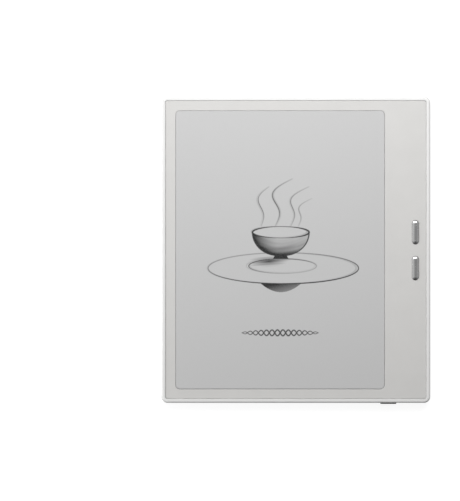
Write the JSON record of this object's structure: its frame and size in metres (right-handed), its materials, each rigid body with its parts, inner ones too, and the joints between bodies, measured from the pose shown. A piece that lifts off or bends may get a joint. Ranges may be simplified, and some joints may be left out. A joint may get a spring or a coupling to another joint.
{
  "type": "e-reader",
  "caption": "Slim e-reader lying on its back: e-paper screen in a pale frame, wide grip strip with page buttons, edge power button and a leather-grained back.",
  "frame": {"origin": "centre of the back face that the reader rests on", "axes": "+Z out of the screen, +Y towards the top of the page, +X towards the grip strip with the page buttons"},
  "size_m": [0.137, 0.1566, 0.0067],
  "materials": {
    "casing_white": "satin",
    "skin_grain": "matte",
    "bezel_grey": "matte",
    "screen_film": "matte",
    "epaper_glass": "matte",
    "clear_guide": "gloss",
    "gasket_foam": "matte",
    "button_metal": "satin",
    "power_black": "satin",
    "plate_metal": "satin",
    "port_steel": "satin",
    "board_green": "satin",
    "flex_amber": "satin",
    "black_parts": "matte",
    "cream_plastic": "satin",
    "mesh_black": "matte",
    "gold_contact": "satin",
    "battery_foil": "satin",
    "lead_red": "satin",
    "tape_white": "matte",
    "magnet_nickel": "polished",
    "screw_steel": "satin"
  },
  "bodies": {
    "housing": {"housing_frame": "casing_white", "rear_cover": "casing_white", "back_skin": "skin_grain", "grip_skin": "skin_grain", "front_bezel": "bezel_grey", "touch_panel": "screen_film", "epaper_panel": "epaper_glass", "light_guide": "clear_guide", "display_gasket": "gasket_foam", "chassis_plate": "plate_metal", "charging_port_shell": "port_steel", "memory_card_slot": "port_steel", "shield_can": "port_steel", "wireless_module": "port_steel", "main_board": "board_green", "page_switch_board": "board_green", "battery_board": "board_green", "display_flex": "flex_amber", "touch_flex": "flex_amber", "page_button_flex": "flex_amber", "display_connector": "black_parts", "touch_connector": "black_parts", "processor_chip": "black_parts", "memory_chip": "black_parts", "power_chip": "black_parts", "hall_sensor": "black_parts", "charging_port_tongue": "black_parts", "speaker": "black_parts", "antenna_cable": "black_parts", "page_switch_base_upper": "black_parts", "page_switch_base_lower": "black_parts", "power_switch_base": "black_parts", "frontlight_strip": "cream_plastic", "battery_connector": "cream_plastic", "speaker_mesh": "mesh_black", "antenna": "gold_contact", "microphone": "gold_contact", "battery_cell": "battery_foil", "battery_cable": "lead_red", "battery_tape": "tape_white", "cover_magnet_lower": "magnet_nickel", "cover_magnet_upper": "magnet_nickel", "chassis_screw_1": "screw_steel", "chassis_screw_2": "screw_steel", "chassis_screw_3": "screw_steel", "chassis_screw_4": "screw_steel", "chassis_screw_5": "screw_steel", "chassis_screw_6": "screw_steel", "board_screw_1": "screw_steel", "board_screw_2": "screw_steel", "board_screw_3": "screw_steel", "board_screw_4": "screw_steel", "switch_board_screw_upper": "screw_steel", "switch_board_screw_lower": "screw_steel"},
    "page_button_upper": {"page_button_upper": "button_metal", "page_switch_plunger_upper": "cream_plastic"},
    "page_button_lower": {"page_button_lower": "button_metal", "page_switch_plunger_lower": "cream_plastic"},
    "power_button": {"power_button": "power_black", "power_switch_plunger": "cream_plastic"}
  },
  "joints": [
    {"name": "page_button_upper_press", "type": "slide", "parent": "housing", "child": "page_button_upper", "axis": [0, 0, -1], "range_m": [0, 0.0004], "stiffness_N_per_m": 2500},
    {"name": "page_button_lower_press", "type": "slide", "parent": "housing", "child": "page_button_lower", "axis": [0, 0, -1], "range_m": [0, 0.0004], "stiffness_N_per_m": 2500},
    {"name": "power_button_press", "type": "slide", "parent": "housing", "child": "power_button", "axis": [0, 1, 0], "range_m": [0, 0.0003], "stiffness_N_per_m": 2500}
  ]
}
